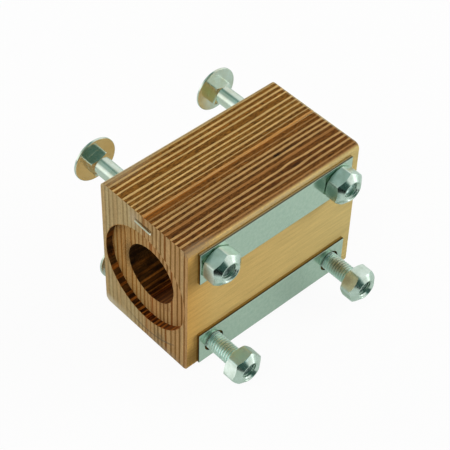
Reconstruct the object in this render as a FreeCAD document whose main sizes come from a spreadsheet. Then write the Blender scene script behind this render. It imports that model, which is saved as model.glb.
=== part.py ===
"""Split bearing block of laminated wood, with the fastenings it is delivered with.

Two half blocks close round a shaft and are held together by a wire staple across each end.  Two flat
straps lie on the front face, and four carriage bolts with lock nuts pass through straps and wood.  The
upper bolts are pulled back until their nuts lie on the strap, the lower ones are pushed forward.

X runs along the shaft bore, Y along the bolts with their heads at high Y, and Z is up.  The origin is
the middle of the bore.  All sizes are in millimetres and degrees.
"""
import FreeCAD, Part
import Sketcher
import math
import os

SIZES = {
    # wooden block, both halves together
    "block_length": 110.0,
    "block_width": 62.0,
    "block_height": 84.0,
    "edge_round": 3.0,
    "split_break": 0.3,
    "bore_diameter": 33.0,
    "recess_diameter": 58.0,
    "recess_depth": 4.0,
    # rows of bolts, from the ends and from the top and bottom of the block
    "bolt_end_inset": 15.5,
    "bolt_edge_inset": 13.3,
    "bolt_hole_diameter": 11.0,
    # flat straps under the nuts
    "strap_end_inset": 6.0,
    "strap_width": 20.0,
    "strap_thickness": 2.0,
    "strap_hole_diameter": 12.0,
    "strap_edge_round": 0.3,
    # carriage bolts
    "bolt_diameter": 9.8,
    "bolt_length": 95.0,
    "bolt_tip_chamfer": 1.0,
    "tip_dimple_diameter": 4.4,
    "tip_dimple_depth": 0.8,
    "head_diameter": 24.6,
    "head_height": 5.2,
    "head_rim": 1.1,
    "neck_width": 10.0,
    "neck_length": 5.4,
    "neck_corner_round": 0.5,
    "lower_neck_gap": 2.1,
    # lock nuts with a coned crown
    "nut_across_flats": 17.0,
    "nut_height": 10.0,
    "nut_corner_height": 6.8,
    "nut_crown_diameter": 11.6,
    "nut_bearing_diameter": 15.6,
    "nut_chamfer_angle": 30.0,
    "nut_past_bolt_end": 2.7,
    "thread_clearance": 0.05,
    # wire staples across the split
    "staple_span": 11.6,
    "staple_wire_width": 1.2,
    "staple_wire_thickness": 0.8,
    "staple_bend": 0.7,
    "staple_leg_length": 11.0,
    "staple_point": 1.0,
    "staple_top_inset": 6.2,
    "staple_tilt": 3.6,
    "staple_slot_clearance": 0.02,
}

# Each bolt with its nut: row and end, then how far the square neck and the nut are turned on the axis.
# Side signs: along is -1 at the near end and 1 at the far end, up is 1 for the upper row.
FASTENINGS = {
    "upper_near": {"along": -1, "up": 1, "neck_turn": 13.0, "nut_turn": 28.0},
    "upper_far": {"along": 1, "up": 1, "neck_turn": 82.0, "nut_turn": 24.0},
    "lower_near": {"along": -1, "up": -1, "neck_turn": 15.0, "nut_turn": 11.0},
    "lower_far": {"along": 1, "up": -1, "neck_turn": 52.0, "nut_turn": 49.0},
}

AXIS = "0"
BLOCK_BACK = "Sizes.block_width / 2"
STRAP_FACE = "(-Sizes.block_width / 2 - Sizes.strap_thickness)"
BOLT_REACH = "(Sizes.block_length / 2 - Sizes.bolt_end_inset)"
BOLT_RISE = "(Sizes.block_height / 2 - Sizes.bolt_edge_inset)"
BOLT_RADIUS = "Sizes.bolt_diameter / 2"
NUT_BORE_RADIUS = "(Sizes.bolt_diameter / 2 + Sizes.thread_clearance)"
NUT_CORNER_RADIUS = "(Sizes.nut_across_flats / sqrt(3))"
NUT_CUT_RADIUS = "(Sizes.nut_across_flats * 2 / 3)"
STAPLE_LEG_MIDDLE = "(Sizes.staple_span / 2 - Sizes.staple_wire_thickness / 2)"
STAPLE_HEIGHT = "(Sizes.block_height / 2 - Sizes.staple_top_inset)"

doc = FreeCAD.newDocument("bearing_block")
sheet = doc.addObject("Spreadsheet::Sheet", "Sizes")
for row, (alias, value) in enumerate(SIZES.items(), start=1):
    sheet.set(f"A{row}", alias.replace("_", " "))
    sheet.set(f"B{row}", str(value))
    sheet.setAlias(f"B{row}", alias)
doc.recompute()


def origin_feature(body, role):
    """Return the body's own origin plane that has this role."""
    return next(feature for feature in body.Origin.OriginFeatures if feature.Role == role)


def new_sketch(body, name, role):
    """Lay an empty sketch on one of the body's origin planes."""
    sketch = body.newObject("Sketcher::SketchObject", f"{body.Name}_{name}")
    sketch.AttachmentSupport = [(origin_feature(body, role), "")]
    sketch.MapMode = "FlatFace"
    return sketch


def pin(sketch, geometry, point, across, along):
    """Hold a point of a sketch at the place that two expressions give."""
    here = sketch.getPoint(geometry, point)
    for kind, start, expression in (("DistanceX", here.x, across), ("DistanceY", here.y, along)):
        index = sketch.addConstraint(Sketcher.Constraint(kind, -1, 1, geometry, point, start))
        sketch.setExpression(f"Constraints[{index}]", expression)


def outline(sketch, corners, domes=()):
    """Draw a closed outline through corners, each a pair of expressions, anticlockwise.

    The edges numbered in domes are arcs centred on the sketch's upright axis, the others are straight.
    """
    first = sketch.GeometryCount
    count = len(corners)
    ring = Part.Circle(FreeCAD.Vector(0, 0, 0), FreeCAD.Vector(0, 0, 1), 10)
    turns = [2 * math.pi * k / count for k in range(count + 1)]
    for k in range(count):
        if k in domes:
            edge = Part.ArcOfCircle(ring, turns[k], turns[k + 1])
        else:
            edge = Part.LineSegment(ring.value(turns[k]), ring.value(turns[k + 1]))
        sketch.addGeometry(edge, False)
    for k in range(count):
        follower = first + (k + 1) % count
        sketch.addConstraint(Sketcher.Constraint("Coincident", first + k, 2, follower, 1))
    for k in domes:
        sketch.addConstraint(Sketcher.Constraint("PointOnObject", first + k, 3, -2))
    for k, (across, along) in enumerate(corners):
        pin(sketch, first + k, 1, across, along)


def hole(sketch, across, along, diameter):
    """Draw a circle of a given diameter about a point, all three as expressions."""
    middle = FreeCAD.Vector(1, 1, 0)
    circle = sketch.addGeometry(Part.Circle(middle, FreeCAD.Vector(0, 0, 1), 1), False)
    pin(sketch, circle, 3, across, along)
    index = sketch.addConstraint(Sketcher.Constraint("Diameter", circle, 2))
    sketch.setExpression(f"Constraints[{index}]", diameter)


def grow(body, kind, sketch, **settings):
    """Add material from a sketch, as a Pad or a Revolution with bound settings."""
    return profile_feature(body, kind, sketch, settings)


def cut(body, kind, sketch, **settings):
    """Remove material by a sketch, as a Pocket or a Groove, and see that it did remove some."""
    before = body.Shape.Volume
    feature = profile_feature(body, kind, sketch, settings)
    if not body.Shape.Volume < before:
        raise RuntimeError(f"{feature.Name} removes nothing")
    return feature


def profile_feature(body, kind, sketch, settings):
    """Make a feature from a sketch: its length is bound, it turns about a named axis of the sketch."""
    feature = body.newObject(f"PartDesign::{kind}", f"{sketch.Name}_{kind.lower()}")
    feature.Profile = sketch
    for name, value in settings.items():
        if name == "Length":
            feature.setExpression(name, value)
        elif name == "About":
            feature.ReferenceAxis = (sketch, [value])
        else:
            setattr(feature, name, value)
    doc.recompute()
    return feature


def dress_edges(body, kind, names, bound, size):
    """Round or break the named edges of the body's present tip to a bound size."""
    feature = body.newObject(f"PartDesign::{kind}", f"{body.Name}_{kind.lower()}")
    feature.Base = (feature.BaseFeature, names)
    feature.setExpression(bound, size)
    doc.recompute()


def edge_names(body, wanted):
    """Name the edges of the body's present shape that a test picks, leaving out those shrunk to a point."""
    edges = enumerate(body.Shape.Edges, start=1)
    return [f"Edge{n}" for n, edge in edges if not edge.Degenerated and wanted(edge)]


def new_body(label):
    """Start a sub-part whose label names its file."""
    body = doc.addObject("PartDesign::Body", label)
    body.Label = label
    return body


def place(body, x=None, y=None, z=None):
    """Bind the parts of a body's position that are given."""
    for axis, expression in (("x", x), ("y", y), ("z", z)):
        if expression is not None:
            body.setExpression(f"Placement.Base.{axis}", expression)


def half_block(label, side):
    """One half of the block: side is -1 for the front half under the straps, 1 for the rear half."""
    body = new_body(label)
    outer = f"{side} * Sizes.block_width / 2"
    foot = "-Sizes.block_height / 2"
    top = "Sizes.block_height / 2"
    section = new_sketch(body, "section", "YZ_Plane")
    outline(section, [(AXIS, foot), (outer, foot), (outer, top), (AXIS, top)])
    grow(body, "Pad", section, Length="Sizes.block_length", SideType="Symmetric")

    # the long edges: rounded outside, slightly broken where the halves meet
    box = body.Shape.BoundBox

    def long_edge(edge, outside):
        runs_along = math.isclose(edge.BoundBox.XLength, box.XLength, abs_tol=1e-3)
        return runs_along and (abs(edge.CenterOfMass.y) > box.YLength / 2) == outside

    dress_edges(body, "Fillet", edge_names(body, lambda e: long_edge(e, True)), "Radius", "Sizes.edge_round")
    dress_edges(body, "Chamfer", edge_names(body, lambda e: long_edge(e, False)), "Size", "Sizes.split_break")

    # the shaft's bore with a wider, shallow recess at each end, turned about the X axis
    end = "Sizes.block_length / 2"
    floor = "(Sizes.block_length / 2 - Sizes.recess_depth)"
    bore = "Sizes.bore_diameter / 2"
    recess = "Sizes.recess_diameter / 2"
    seat = new_sketch(body, "shaft_seat", "XZ_Plane")
    outline(seat, [
        (f"-{end}", AXIS), (end, AXIS), (end, recess), (floor, recess), (floor, bore),
        (f"-{floor}", bore), (f"-{floor}", recess), (f"-{end}", recess),
    ])
    cut(body, "Groove", seat, About="H_Axis")

    bolt_holes = new_sketch(body, "bolt_holes", "XZ_Plane")
    for along in (-1, 1):
        for up in (-1, 1):
            hole(bolt_holes, f"{along} * {BOLT_REACH}", f"{up} * {BOLT_RISE}", "Sizes.bolt_hole_diameter")
    cut(body, "Pocket", bolt_holes, Type="ThroughAll", SideType="Symmetric")

    # a slot for one leg of the staple at the near end, and its mirror image at the far end
    slot = new_sketch(body, "staple_slot", "YZ_Plane")
    slot.setExpression("AttachmentOffset.Base.y", STAPLE_HEIGHT)
    slot.setExpression("AttachmentOffset.Base.z", "-Sizes.block_length / 2")
    slot.setExpression("AttachmentOffset.Rotation.Angle", "Sizes.staple_tilt * 1 deg")
    half_thick = "(Sizes.staple_wire_thickness / 2 + Sizes.staple_slot_clearance)"
    half_wide = "(Sizes.staple_wire_width / 2 + Sizes.staple_slot_clearance)"
    inner = f"{side} * ({STAPLE_LEG_MIDDLE} - {half_thick})"
    far = f"{side} * ({STAPLE_LEG_MIDDLE} + {half_thick})"
    outline(slot, [(inner, f"-{half_wide}"), (far, f"-{half_wide}"), (far, half_wide), (inner, half_wide)])
    near_slot = cut(body, "Pocket", slot, Reversed=True,
                    Length="Sizes.staple_leg_length + Sizes.staple_slot_clearance")
    slots = body.newObject("PartDesign::Mirrored", f"{label}_slots")
    slots.Originals = [near_slot]
    slots.MirrorPlane = (origin_feature(body, "YZ_Plane"), [""])
    body.Tip = slots
    return body


def strap(label, up):
    """A flat strap on the front face, with a hole for each bolt of its row."""
    body = new_body(label)
    half_long = "(Sizes.block_length / 2 - Sizes.strap_end_inset)"
    half_wide = "Sizes.strap_width / 2"
    plate = new_sketch(body, "plate", "XZ_Plane")
    outline(plate, [
        (f"-{half_long}", f"-{half_wide}"), (half_long, f"-{half_wide}"),
        (half_long, half_wide), (f"-{half_long}", half_wide),
    ])
    for along in (-1, 1):
        hole(plate, f"{along} * {BOLT_REACH}", AXIS, "Sizes.strap_hole_diameter")
    grow(body, "Pad", plate, Length="Sizes.strap_thickness")

    # the straight edges of the outer face are rolled over by the shear
    box = body.Shape.BoundBox
    shear_edges = edge_names(body, lambda edge: math.isclose(edge.BoundBox.YMax, box.YMin, abs_tol=1e-3)
                             and isinstance(edge.Curve, Part.Line))
    dress_edges(body, "Fillet", shear_edges, "Radius", "Sizes.strap_edge_round")
    place(body, y=f"-{BLOCK_BACK}", z=f"{up} * {BOLT_RISE}")
    return body


def head_seat(up):
    """Expression for the Y of a bolt head's underside: upper nuts lie on the strap, lower necks stand off."""
    if up > 0:
        return (f"{STRAP_FACE} - Sizes.nut_height + Sizes.nut_past_bolt_end + Sizes.bolt_length")
    return f"{BLOCK_BACK} + Sizes.lower_neck_gap + Sizes.neck_length"


def carriage_bolt(label, along, up, neck_turn):
    """A bolt with a low domed head, a square neck and a dished tip, along -Y from its head's underside."""
    body = new_body(label)
    tip = "-Sizes.bolt_length"
    head = "Sizes.head_diameter / 2"
    turned = new_sketch(body, "turned", "XY_Plane")
    outline(turned, [
        (head, "Sizes.head_rim"), (AXIS, "Sizes.head_height"),
        (AXIS, f"{tip} + Sizes.tip_dimple_depth"), ("Sizes.tip_dimple_diameter / 2", tip),
        (f"{BOLT_RADIUS} - Sizes.bolt_tip_chamfer", tip), (BOLT_RADIUS, f"{tip} + Sizes.bolt_tip_chamfer"),
        (BOLT_RADIUS, AXIS), (head, AXIS),
    ], domes=(0,))
    grow(body, "Revolution", turned, About="V_Axis")

    neck = new_sketch(body, "neck", "XZ_Plane")
    neck.AttachmentOffset = FreeCAD.Placement(FreeCAD.Vector(), FreeCAD.Rotation(neck_turn, 0, 0))
    half = "Sizes.neck_width / 2"
    outline(neck, [(f"-{half}", f"-{half}"), (half, f"-{half}"), (half, half), (f"-{half}", half)])
    grow(body, "Pad", neck, Length="Sizes.neck_length")
    corners = edge_names(body, lambda edge: isinstance(edge.Curve, Part.Line)
                         and abs(edge.Curve.Direction.y) > 0.999
                         and math.hypot(edge.CenterOfMass.x, edge.CenterOfMass.z) < SIZES["neck_width"]
                         and math.isclose(edge.Length, SIZES["neck_length"], abs_tol=1e-3))
    dress_edges(body, "Fillet", corners, "Radius", "Sizes.neck_corner_round")
    place(body, f"{along} * {BOLT_REACH}", head_seat(up), f"{up} * {BOLT_RISE}")
    return body


def lock_nut(label, along, up, nut_turn):
    """An all-metal lock nut: a hexagon whose corners a cone cuts away up to the narrow crown."""
    body = new_body(label)
    hexagon = new_sketch(body, "hexagon", "XZ_Plane")
    hexagon.AttachmentOffset = FreeCAD.Placement(FreeCAD.Vector(), FreeCAD.Rotation(nut_turn, 0, 0))
    outline(hexagon, [
        (f"{NUT_CORNER_RADIUS} * cos({60 * k} deg)", f"{NUT_CORNER_RADIUS} * sin({60 * k} deg)")
        for k in range(6)
    ])
    hole(hexagon, AXIS, AXIS, f"2 * {NUT_BORE_RADIUS}")
    grow(body, "Pad", hexagon, Length="Sizes.nut_height")

    crown = "Sizes.nut_crown_diameter / 2"
    cone_rise = "(Sizes.nut_height - Sizes.nut_corner_height)"
    cone_reach = f"({NUT_CORNER_RADIUS} - {crown})"
    cone_foot = f"-Sizes.nut_corner_height + {cone_rise} / {cone_reach} * ({NUT_CUT_RADIUS} - {NUT_CORNER_RADIUS})"
    bearing = "Sizes.nut_bearing_diameter / 2"
    chamfer = f"-({NUT_CUT_RADIUS} - {bearing}) * tan(Sizes.nut_chamfer_angle * 1 deg)"
    turned = new_sketch(body, "chamfers", "XY_Plane")
    outline(turned, [
        (crown, "-Sizes.nut_height"), (NUT_CUT_RADIUS, "-Sizes.nut_height"), (NUT_CUT_RADIUS, cone_foot),
    ])
    outline(turned, [(bearing, AXIS), (NUT_CUT_RADIUS, chamfer), (NUT_CUT_RADIUS, AXIS)])
    cut(body, "Groove", turned, About="V_Axis")
    seat = f"{head_seat(up)} - Sizes.bolt_length - Sizes.nut_past_bolt_end + Sizes.nut_height"
    place(body, f"{along} * {BOLT_REACH}", seat, f"{up} * {BOLT_RISE}")
    return body


def end_staple(label, end):
    """A staple driven across the split of one end face: end is -1 for the near end, 1 for the far end."""
    body = new_body(label)
    out = "Sizes.staple_span / 2"
    within = "(Sizes.staple_span / 2 - Sizes.staple_wire_thickness)"
    crown = f"{end} * Sizes.staple_wire_thickness"
    point = f"-{end} * Sizes.staple_leg_length"
    heel = f"-{end} * (Sizes.staple_leg_length - Sizes.staple_point)"
    bent = new_sketch(body, "bent_wire", "XY_Plane")
    outline(bent, [
        (crown, f"-{out}"), (crown, out), (heel, out), (point, within),
        (AXIS, within), (AXIS, f"-{within}"), (point, f"-{within}"), (heel, f"-{out}"),
    ])
    grow(body, "Pad", bent, Length="Sizes.staple_wire_width", SideType="Symmetric")
    box = body.Shape.BoundBox
    outer_face = box.XMax if end > 0 else box.XMin
    bends = edge_names(body, lambda edge: math.isclose(edge.BoundBox.ZLength, box.ZLength, abs_tol=1e-3)
                       and math.isclose(edge.CenterOfMass.x, outer_face, abs_tol=1e-3))
    dress_edges(body, "Fillet", bends, "Radius", "Sizes.staple_bend")
    body.Placement = FreeCAD.Placement(FreeCAD.Vector(), FreeCAD.Rotation(FreeCAD.Vector(1, 0, 0), 1))
    body.setExpression("Placement.Rotation.Angle", "Sizes.staple_tilt * 1 deg")
    place(body, x=f"{end} * Sizes.block_length / 2", y=AXIS, z=STAPLE_HEIGHT)
    return body


def build():
    """Make every sub-part of the block and return their bodies."""
    bodies = [
        half_block("front_half", -1),
        half_block("rear_half", 1),
        strap("upper_strap", 1),
        strap("lower_strap", -1),
        end_staple("near_staple", -1),
        end_staple("far_staple", 1),
    ]
    for place_name, spot in FASTENINGS.items():
        bodies.append(carriage_bolt(f"{place_name}_bolt", spot["along"], spot["up"], spot["neck_turn"]))
        bodies.append(lock_nut(f"{place_name}_nut", spot["along"], spot["up"], spot["nut_turn"]))
    doc.recompute()
    return bodies


def check(bodies):
    """Stop if any feature failed or any sub-part isn't one sound solid."""
    for item in doc.Objects:
        if "Invalid" in item.State or "Error" in item.State:
            raise RuntimeError(f"{item.Name} failed: {item.State}")
    for body in bodies:
        if body.Shape.isNull() or not body.Shape.isValid() or len(body.Shape.Solids) != 1:
            raise RuntimeError(f"{body.Label} is not one sound solid")


def write(bodies):
    """Write each sub-part to its own file in parts."""
    os.makedirs("parts", exist_ok=True)
    for body in bodies:
        body.Shape.exportStep(f"parts/{body.Label}.step")
        box = body.Shape.BoundBox
        print(f"{body.Label}: {body.Shape.Volume:.1f} mm3, x {box.XMin:.2f} to {box.XMax:.2f}, "
              f"y {box.YMin:.2f} to {box.YMax:.2f}, z {box.ZMin:.2f} to {box.ZMax:.2f}")


sub_parts = build()
check(sub_parts)
write(sub_parts)
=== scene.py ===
"""Looks of a split bearing block: laminated wood, zinc-plated straps, carriage bolts and lock nuts.

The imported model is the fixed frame.  The wooden halves, the straps and the staples keep their solids and
get materials.  The bolts and nuts are rebuilt as numpy surfaces, with their threads, in the places of their
solids.  Lengths are in millimetres until they go into a mesh, a lamp or the camera, where MM turns them
into metres.
"""

import logging
import math
from dataclasses import dataclass
from enum import Enum
from functools import partial
from typing import Any, NamedTuple

import bpy
import numpy as np
from mathutils import Matrix, Vector


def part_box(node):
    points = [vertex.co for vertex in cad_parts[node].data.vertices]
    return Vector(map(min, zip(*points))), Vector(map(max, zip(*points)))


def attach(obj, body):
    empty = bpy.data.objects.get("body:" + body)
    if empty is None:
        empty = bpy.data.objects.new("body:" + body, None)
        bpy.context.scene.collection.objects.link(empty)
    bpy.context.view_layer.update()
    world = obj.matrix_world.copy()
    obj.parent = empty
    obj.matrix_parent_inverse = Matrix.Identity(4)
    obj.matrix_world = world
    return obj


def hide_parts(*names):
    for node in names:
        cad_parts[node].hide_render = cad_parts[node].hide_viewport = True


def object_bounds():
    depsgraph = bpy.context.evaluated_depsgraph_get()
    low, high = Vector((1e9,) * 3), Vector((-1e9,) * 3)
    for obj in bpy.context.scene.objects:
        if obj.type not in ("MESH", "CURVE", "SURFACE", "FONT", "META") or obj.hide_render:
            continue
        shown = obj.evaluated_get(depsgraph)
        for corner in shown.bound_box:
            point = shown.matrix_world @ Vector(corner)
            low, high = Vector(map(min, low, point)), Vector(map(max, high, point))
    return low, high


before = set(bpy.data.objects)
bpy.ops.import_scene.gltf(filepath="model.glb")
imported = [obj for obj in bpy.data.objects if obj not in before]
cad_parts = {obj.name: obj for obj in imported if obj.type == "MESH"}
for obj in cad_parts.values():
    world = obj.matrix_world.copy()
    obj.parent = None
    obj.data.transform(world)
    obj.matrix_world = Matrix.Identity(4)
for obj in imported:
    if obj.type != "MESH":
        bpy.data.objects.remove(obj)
CAD_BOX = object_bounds()

MM = 0.001
PHOTO_SIDE_PX = 450
SENSOR_MM = 36.0
SHARP_EDGE = math.radians(32)
WHITE = "FFFFFF"

# a Mix node's inputs go by number, because those for numbers and those for colours share their names
NUMBER_A, NUMBER_B = 2, 3
MIX_A, MIX_B = 6, 7
COLOURS = {"data_type": "RGBA", "out": 2}
TINTS = {"blend_type": "MULTIPLY", **COLOURS}

# noise keeps near its middle, so this stretch of it is spread over the whole range from 0 to 1
NOISE_SPREAD = (0.3, 0.7)
NOISE_ROUGHNESS = 0.6

# a mark is whole out to the first share of its reach and gone at the second; noise frays it by the third
MARK_WHOLE, MARK_GONE, MARK_FRAY = 0.5, 1.2, 0.4

Socket = bpy.types.NodeSocket
Point = tuple[float, float, float]
Colour = tuple[float, float, float, float]

log = logging.getLogger("bearing_block")


class Row(Enum):
    """The two rows of bolts."""

    UPPER = "upper"
    LOWER = "lower"


class End(Enum):
    """The two ends of the block: the one in view and the one behind."""

    NEAR = "near"
    FAR = "far"


class Half(Enum):
    """The two halves of the block: under the straps, and on the side of the bolt heads."""

    FRONT = "front_half"
    REAR = "rear_half"


class Slot(Enum):
    """The record's material slots."""

    WOOD = "laminated_wood"
    STRAP = "zinc_strap"
    WIRE = "staple_wire"
    BOLT = "zinc_bolt"
    NUT = "zinc_nut"


class Kind(Enum):
    """The kinds of node that the finishes and the surroundings are made of."""

    BACKGROUND = "ShaderNodeBackground"
    BUMP = "ShaderNodeBump"
    COORDINATES = "ShaderNodeTexCoord"
    DIFFUSE = "ShaderNodeBsdfDiffuse"
    EMISSION = "ShaderNodeEmission"
    LIGHT_PATH = "ShaderNodeLightPath"
    MATERIAL_OUTPUT = "ShaderNodeOutputMaterial"
    MATH = "ShaderNodeMath"
    MIX = "ShaderNodeMix"
    MIX_SHADER = "ShaderNodeMixShader"
    NOISE = "ShaderNodeTexNoise"
    PRINCIPLED = "ShaderNodeBsdfPrincipled"
    RAMP = "ShaderNodeValToRGB"
    RANGE = "ShaderNodeMapRange"
    SPLIT_COLOUR = "ShaderNodeSeparateColor"
    SPLIT_VECTOR = "ShaderNodeSeparateXYZ"
    VECTOR = "ShaderNodeVectorMath"
    WORLD_OUTPUT = "ShaderNodeOutputWorld"


class Run(NamedTuple):
    """A straight run of one value along another, level before its start and past its end.

    Attributes:
        start: Where the run starts, on the other value.
        end: Where it ends.
        first: The value at the start.
        last: The value at the end.
    """

    start: float = 0.0
    end: float = 1.0
    first: float = 0.0
    last: float = 1.0

    def along(self, value: Socket) -> dict[int, Any]:
        """Return the inputs, in their order, that make a range node follow the run along a value."""
        return dict(enumerate((value, *self)))


class Figure(NamedTuple):
    """A figure in the wood or the metal, drawn as noise.

    Attributes:
        sizes: Length of one wave of the noise along X, Y and Z.
        detail: How many finer layers of noise lie on the first.
    """

    sizes: Point
    detail: float = 3.0


def linear(code: str) -> Colour:
    """Turn an sRGB hex colour into linear red, green, blue and alpha.

    Args:
        code: Six hex digits.

    Returns:
        The linear colour, opaque.
    """
    shares = [int(code[k:k + 2], 16) / 255 for k in (0, 2, 4)]
    curve = [s / 12.92 if s <= 0.04045 else ((s + 0.055) / 1.055) ** 2.4 for s in shares]
    return (curve[0], curve[1], curve[2], 1.0)


def ease(share: np.ndarray) -> np.ndarray:
    """Ease shares from 0 to 1 in and out: three times the square less twice the cube."""
    return share * share * (3 - 2 * share)


def add_node(tree: bpy.types.NodeTree, kind: Kind, inputs: dict[Any, Any] | None = None, out: int | str = 0,
             stops: tuple[tuple[float, Colour], ...] = (), **settings: Any) -> Socket:
    """Add a node, set its properties and fill its inputs with links or values.

    Args:
        tree: The node tree to add to.
        kind: The kind of node.
        inputs: Input name or number to a socket to link from, or to a value.
        out: The output to hand back.
        stops: Positions and colours of a colour ramp, in order.
        settings: Properties of the node.

    Returns:
        The chosen output socket, or the node's first input where it has no output.
    """
    node = tree.nodes.new(kind.value)
    for name, value in settings.items():
        setattr(node, name, value)
    for key, value in (inputs or {}).items():
        if isinstance(value, Socket):
            tree.links.new(value, node.inputs[key])
        else:
            node.inputs[key].default_value = value
    if stops:
        elements = node.color_ramp.elements
        elements.remove(elements[-1])
        for number, (position, colour) in enumerate(stops):
            element = elements.new(position) if number else elements[0]
            element.position = position
            element.color = colour
    return node.outputs[out] if node.outputs else node.inputs[0]


def box_mm(node: str) -> tuple[np.ndarray, np.ndarray]:
    """Return the lowest and highest corner of a solid of the frame, in millimetres."""
    low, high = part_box(node)
    return np.array(low) / MM, np.array(high) / MM


def tip_of(row: Row, end: End) -> Point:
    """Find the tip of a bolt in the frame.

    Args:
        row: The bolt's row.
        end: The end of the block that it is nearer to.

    Returns:
        The tip's middle.
    """
    low, high = box_mm(f"{row.value}_{end.value}_bolt")
    return ((low[0] + high[0]) / 2, low[1], (low[2] + high[2]) / 2)


HALF_SIZE = box_mm(Half.REAR.value)[1]
BOLT_AXIS = (tip_of(Row.UPPER, End.FAR)[0], 0.0, tip_of(Row.UPPER, End.FAR)[2])


def put(name: str, data: bpy.types.ID) -> bpy.types.Object:
    """Put a new object into the scene.

    Args:
        name: The object's name.
        data: Its mesh, lamp or camera.

    Returns:
        The object, at the origin.
    """
    thing = bpy.data.objects.new(name, data)
    bpy.context.scene.collection.objects.link(thing)
    return thing


def grid_faces(rows: int, columns: int, closed: bool) -> np.ndarray:
    """Join the points of a grid into quads, wrapping round the columns.

    Args:
        rows: Number of rows of points.
        columns: Number of points in a row, the last one next to the first.
        closed: Whether the last row also joins the first.

    Returns:
        Quads as an array of point numbers, four to a face.
    """
    i, j = np.meshgrid(np.arange(rows if closed else rows - 1), np.arange(columns), indexing="ij")
    following, beside = (i + 1) % rows, (j + 1) % columns
    corners = (i * columns + j, following * columns + j, following * columns + beside, i * columns + beside)
    return np.stack(corners, axis=-1).reshape(-1, 4)


def about(axis: np.ndarray, radius: np.ndarray, along: np.ndarray, turn: np.ndarray) -> np.ndarray:
    """Place rings about an axis along Y: the radius times the cosine and the sine of the turn give X and Z.

    Args:
        axis: A point of the axis.
        radius: Radii, as rows of rings.
        along: Places along Y, as rows of rings.
        turn: Angle about the axis from X towards Z, column by column.

    Returns:
        Points, as rows of rings.
    """
    return np.stack([axis[0] + radius * np.cos(turn), along, axis[2] + radius * np.sin(turn)], axis=-1)


def put_rings(name: str, rings: np.ndarray, closed: bool = False) -> bpy.types.Object:
    """Make a piece from rings of points; an open stack of rings is closed by a fan at each end.

    Args:
        name: The piece's name.
        rings: Points in millimetres, as rows of rings.
        closed: Whether the stack of rings bites its own tail.

    Returns:
        The new piece, at the origin.
    """
    rows, columns = rings.shape[:2]
    points = rings.reshape(-1, 3)
    faces = grid_faces(rows, columns, closed).tolist()
    if not closed:
        ring = np.arange(columns)
        beside = (ring + 1) % columns
        first, last = len(points), len(points) + 1
        points = np.vstack([points, rings[0].mean(0), rings[-1].mean(0)])
        tail = (rows - 1) * columns
        faces += np.stack([np.full(columns, first), ring, beside], -1).tolist()
        faces += np.stack([np.full(columns, last), tail + beside, tail + ring], -1).tolist()
    mesh = bpy.data.meshes.new(name)
    mesh.from_pydata((points * MM).tolist(), [], faces)
    mesh.polygons.foreach_set("use_smooth", np.ones(len(mesh.polygons), bool))
    mesh.set_sharp_from_angle(angle=SHARP_EDGE)
    mesh.update()
    return put(name, mesh)


def stand_for(piece: bpy.types.Object, node: str, body: str,
              material: bpy.types.Material) -> None:
    """Dress a new piece and put it in the place of a solid.

    Args:
        piece: The new piece.
        node: The solid that it stands for.
        body: The body that it moves with.
        material: The finish.
    """
    piece.data.materials.append(material)
    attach(piece, body)
    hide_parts(node)


def dress(node: str, material: bpy.types.Material) -> bpy.types.Object:
    """Give a solid of the frame its finish.

    Args:
        node: The solid.
        material: The finish.

    Returns:
        The dressed solid.
    """
    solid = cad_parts[node]
    solid.data.materials.clear()
    solid.data.materials.append(material)
    return solid


@dataclass(frozen=True)
class Surface:
    """The start of a material, which knows where a point of the piece lies and which way it faces.

    Attributes:
        material: The material.
        add: add_node bound to the material's tree.
        place: The point in Object coordinates, in millimetres.
    """

    material: bpy.types.Material
    add: partial
    place: Socket

    @classmethod
    def start(cls, name: str) -> "Surface":
        """Start a material.

        Args:
            name: The material's name.

        Returns:
            The surface to go on from.
        """
        material = bpy.data.materials.new(name)
        material.use_nodes = True
        material.node_tree.nodes.clear()
        add = partial(add_node, material.node_tree)
        metres = add(Kind.COORDINATES, out="Object")
        return cls(material, add, add(Kind.VECTOR, {0: metres, "Scale": 1 / MM}, operation="SCALE"))

    def spot(self, axis: str) -> Socket:
        """Return the point's X, Y or Z, in millimetres."""
        return self.add(Kind.SPLIT_VECTOR, {0: self.place}, out=axis)

    def facing(self, axis: str) -> Socket:
        """Return the X, Y or Z of the normal."""
        return self.add(Kind.SPLIT_VECTOR, {0: self.add(Kind.COORDINATES, out="Normal")}, out=axis)

    def pattern(self, figure: Figure) -> Socket:
        """Draw a figure as noise that takes up the whole range from 0 to 1.

        Args:
            figure: The figure's sizes and detail.

        Returns:
            The noise.
        """
        waves = self.add(Kind.VECTOR, {0: self.place, 1: figure.sizes}, operation="DIVIDE")
        noise = self.add(Kind.NOISE, {"Vector": waves, "Scale": 1.0, "Detail": figure.detail,
                                      "Roughness": NOISE_ROUGHNESS})
        return self.add(Kind.RANGE, Run(*NOISE_SPREAD).along(noise))

    def show(self, shader: Socket) -> bpy.types.Material:
        """Link a shader to the material's output and return the material."""
        self.add(Kind.MATERIAL_OUTPUT, {"Surface": shader})
        return self.material


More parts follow.
